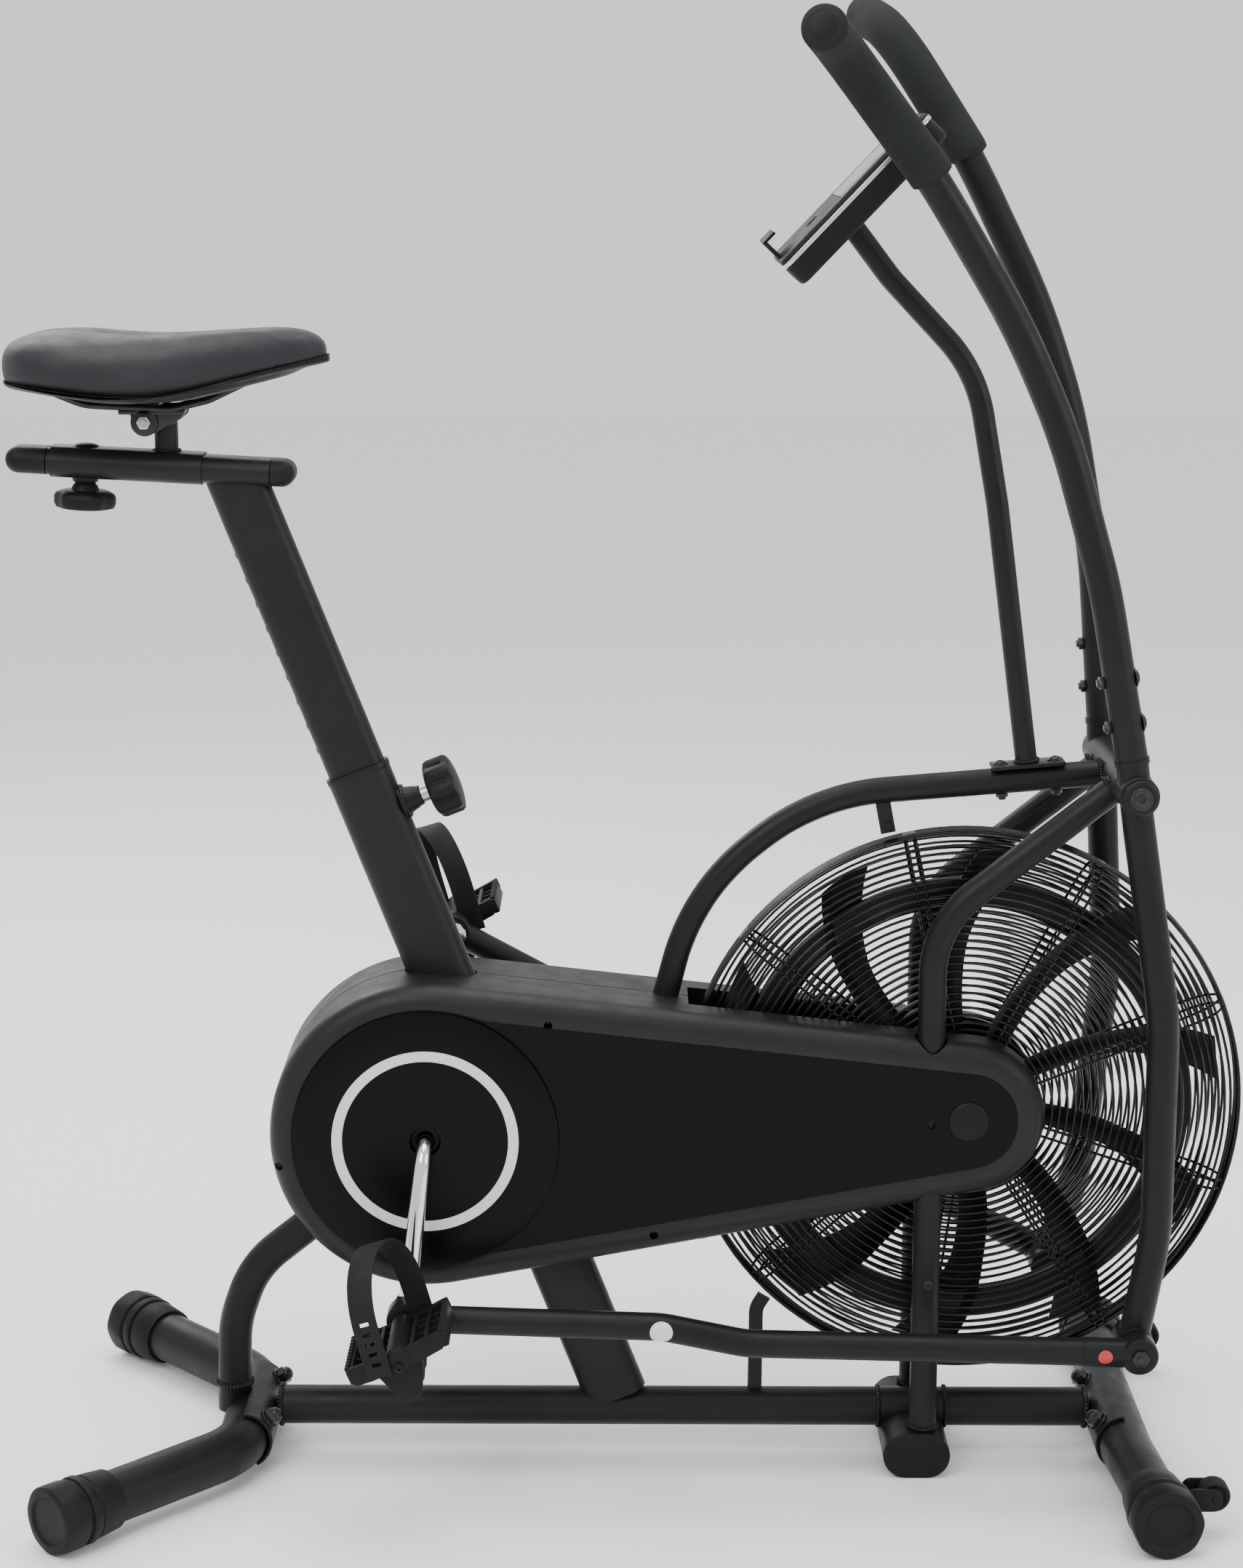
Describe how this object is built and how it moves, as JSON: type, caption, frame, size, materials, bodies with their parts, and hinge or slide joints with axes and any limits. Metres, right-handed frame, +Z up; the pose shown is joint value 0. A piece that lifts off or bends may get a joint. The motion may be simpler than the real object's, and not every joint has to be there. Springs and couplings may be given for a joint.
{
  "type": "air bike",
  "caption": "Upright exercise bike braked by a caged fan, with swinging handles linked to the cranks, a height-adjustable saddle and a display on a mast.",
  "frame": {"origin": "centre of the bike's footprint, on the floor", "axes": "+X forward towards the fan and handles, +Y to the rider's left, +Z up"},
  "size_m": [1.18, 0.5466, 1.4164],
  "materials": {
    "powder_coat": "satin black powder coat",
    "black_plastic": "matte black moulded plastic",
    "gloss_panel": "smooth black plastic",
    "white_plastic": "white printed ring",
    "chrome": "bright chrome plate",
    "bare_steel": "bare turned steel",
    "saddle_vinyl": "dark grey grained vinyl over foam",
    "grip_foam": "matte closed-cell foam",
    "rubber": "black moulded rubber",
    "display_lens": "glossy dark display window"
  },
  "bodies": {
    "frame": {"base_rail": "powder_coat", "front_stabilizer": "powder_coat", "rear_stabilizer": "powder_coat", "front_saddle": "powder_coat", "rear_saddle": "powder_coat", "seat_tube": "powder_coat", "rear_brace": "powder_coat", "crank_shell": "powder_coat", "top_tube": "powder_coat", "pivot_tube": "powder_coat", "strut_right": "powder_coat", "strut_left": "powder_coat", "cross_foot": "powder_coat", "cage_right": "powder_coat", "cage_left": "powder_coat", "right_cover": "black_plastic", "left_cover": "black_plastic", "crank_disc_right": "gloss_panel", "crank_disc_left": "gloss_panel", "white_ring_right": "white_plastic", "white_ring_left": "white_plastic", "axle_cap": "black_plastic", "fan_axle": "bare_steel", "drive_belt": "rubber", "front_cap_right": "black_plastic", "front_cap_left": "black_plastic", "pivot_cap_right": "powder_coat", "pivot_cap_left": "powder_coat", "console_post": "powder_coat", "console_body": "black_plastic", "console_lens": "display_lens"},
    "crank": {"crank": "chrome", "drive_pulley": "black_plastic", "pedal_axle_right": "chrome", "pedal_axle_left": "chrome"},
    "fan": {"fan": "black_plastic", "fan_pulley": "bare_steel"},
    "rod_right": {"foot_rod_right": "powder_coat"},
    "pedal_right": {"pedal_right": "black_plastic", "pedal_strap_right": "rubber"},
    "handle_right": {"lower_arm_right": "powder_coat", "upper_arm_right": "powder_coat", "grip_right": "grip_foam"},
    "transport_wheel_right": {"transport_wheel_right": "rubber"},
    "rear_cap_right": {"rear_cap_right": "black_plastic"},
    "rod_left": {"foot_rod_left": "powder_coat"},
    "pedal_left": {"pedal_left": "black_plastic", "pedal_strap_left": "rubber"},
    "handle_left": {"lower_arm_left": "powder_coat", "upper_arm_left": "powder_coat", "grip_left": "grip_foam"},
    "transport_wheel_left": {"transport_wheel_left": "rubber"},
    "rear_cap_left": {"rear_cap_left": "black_plastic"},
    "seat_post": {"seat_post": "powder_coat"},
    "seat_slider": {"seat_slider": "powder_coat"},
    "saddle": {"saddle": "saddle_vinyl", "saddle_clamp": "powder_coat"},
    "slider_knob": {"slider_knob": "black_plastic"},
    "height_knob": {"height_knob": "black_plastic"},
    "console_button": {"console_button": "black_plastic"}
  },
  "joints": [
    {"name": "crank_spin", "type": "hinge", "parent": "frame", "child": "crank", "pos_m": [-0.198, 0, 0.341], "axis": [0, 1, 0], "continuous": true},
    {"name": "fan_spin", "type": "hinge", "parent": "frame", "child": "fan", "pos_m": [0.319, 0, 0.361], "axis": [0, 1, 0], "continuous": true},
    {"name": "handle_right_swing", "type": "hinge", "parent": "frame", "child": "handle_right", "pos_m": [0.462, 0, 0.687], "axis": [0, 1, 0], "range_deg": [-10.5, 17.5]},
    {"name": "handle_left_swing", "type": "hinge", "parent": "frame", "child": "handle_left", "pos_m": [0.462, 0, 0.687], "axis": [0, 1, 0], "range_deg": [-17.5, 10.5]},
    {"name": "rod_right_turn", "type": "hinge", "parent": "handle_right", "child": "rod_right", "pos_m": [0.47685, -0.1392, 0.15521], "axis": [0, 1, 0], "range_deg": [-8, 27.8]},
    {"name": "pedal_right_turn", "type": "hinge", "parent": "crank", "child": "pedal_right", "pos_m": [-0.2141, -0.20025, 0.18784], "axis": [0, 1, 0], "continuous": true},
    {"name": "transport_wheel_right_turn", "type": "hinge", "parent": "frame", "child": "transport_wheel_right", "pos_m": [0.541, -0.2, 0.041], "axis": [0, 1, 0], "continuous": true},
    {"name": "rear_cap_right_turn", "type": "hinge", "parent": "frame", "child": "rear_cap_right", "pos_m": [-0.53589, -0.25349, 0.0335], "axis": [-0.6838, -0.7297, 0], "range_deg": [-90, 90]},
    {"name": "rod_left_turn", "type": "hinge", "parent": "handle_left", "child": "rod_left", "pos_m": [0.42182, 0.1392, 0.15652], "axis": [0, 1, 0], "range_deg": [-27.8, 8]},
    {"name": "pedal_left_turn", "type": "hinge", "parent": "crank", "child": "pedal_left", "pos_m": [-0.1819, 0.20025, 0.49416], "axis": [0, 1, 0], "continuous": true},
    {"name": "transport_wheel_left_turn", "type": "hinge", "parent": "frame", "child": "transport_wheel_left", "pos_m": [0.541, 0.2, 0.041], "axis": [0, 1, 0], "continuous": true},
    {"name": "rear_cap_left_turn", "type": "hinge", "parent": "frame", "child": "rear_cap_left", "pos_m": [-0.53589, 0.25349, 0.0335], "axis": [-0.6838, 0.7297, 0], "range_deg": [-90, 90]},
    {"name": "seat_height", "type": "slide", "parent": "frame", "child": "seat_post", "axis": [-0.3665, 0, 0.9304], "range_m": [-0.2, 0.05]},
    {"name": "seat_fore_aft", "type": "slide", "parent": "seat_post", "child": "seat_slider", "axis": [0.9987, 0, -0.0506], "range_m": [-0.04, 0]},
    {"name": "saddle_tilt", "type": "hinge", "parent": "seat_slider", "child": "saddle", "pos_m": [-0.455, 0, 1.017], "axis": [0, 1, 0], "range_deg": [-5, 5]},
    {"name": "slider_knob_turn", "type": "hinge", "parent": "seat_slider", "child": "slider_knob", "pos_m": [-0.5144, 0, 0.9598], "axis": [-0.0506, 0, -0.9987], "range_deg": [0, 270]},
    {"name": "height_knob_pull", "type": "slide", "parent": "frame", "child": "height_knob", "axis": [0.9304, 0, 0.3665], "range_m": [0, 0.012], "stiffness_N_per_m": 800, "springref_m": -0.004},
    {"name": "console_button_press", "type": "slide", "parent": "frame", "child": "console_button", "axis": [0.7239, 0, -0.6899], "range_m": [0, 0.0015], "stiffness_N_per_m": 600, "springref_m": -0.001}
  ],
  "couplings": [
    {"joint": "fan_spin", "follows": "crank_spin", "ratio": 5},
    {"joint": "rod_left_turn", "follows": "rod_right_turn", "ratio": -1},
    {"joint": "handle_left_swing", "follows": "handle_right_swing", "ratio": -1}
  ]
}
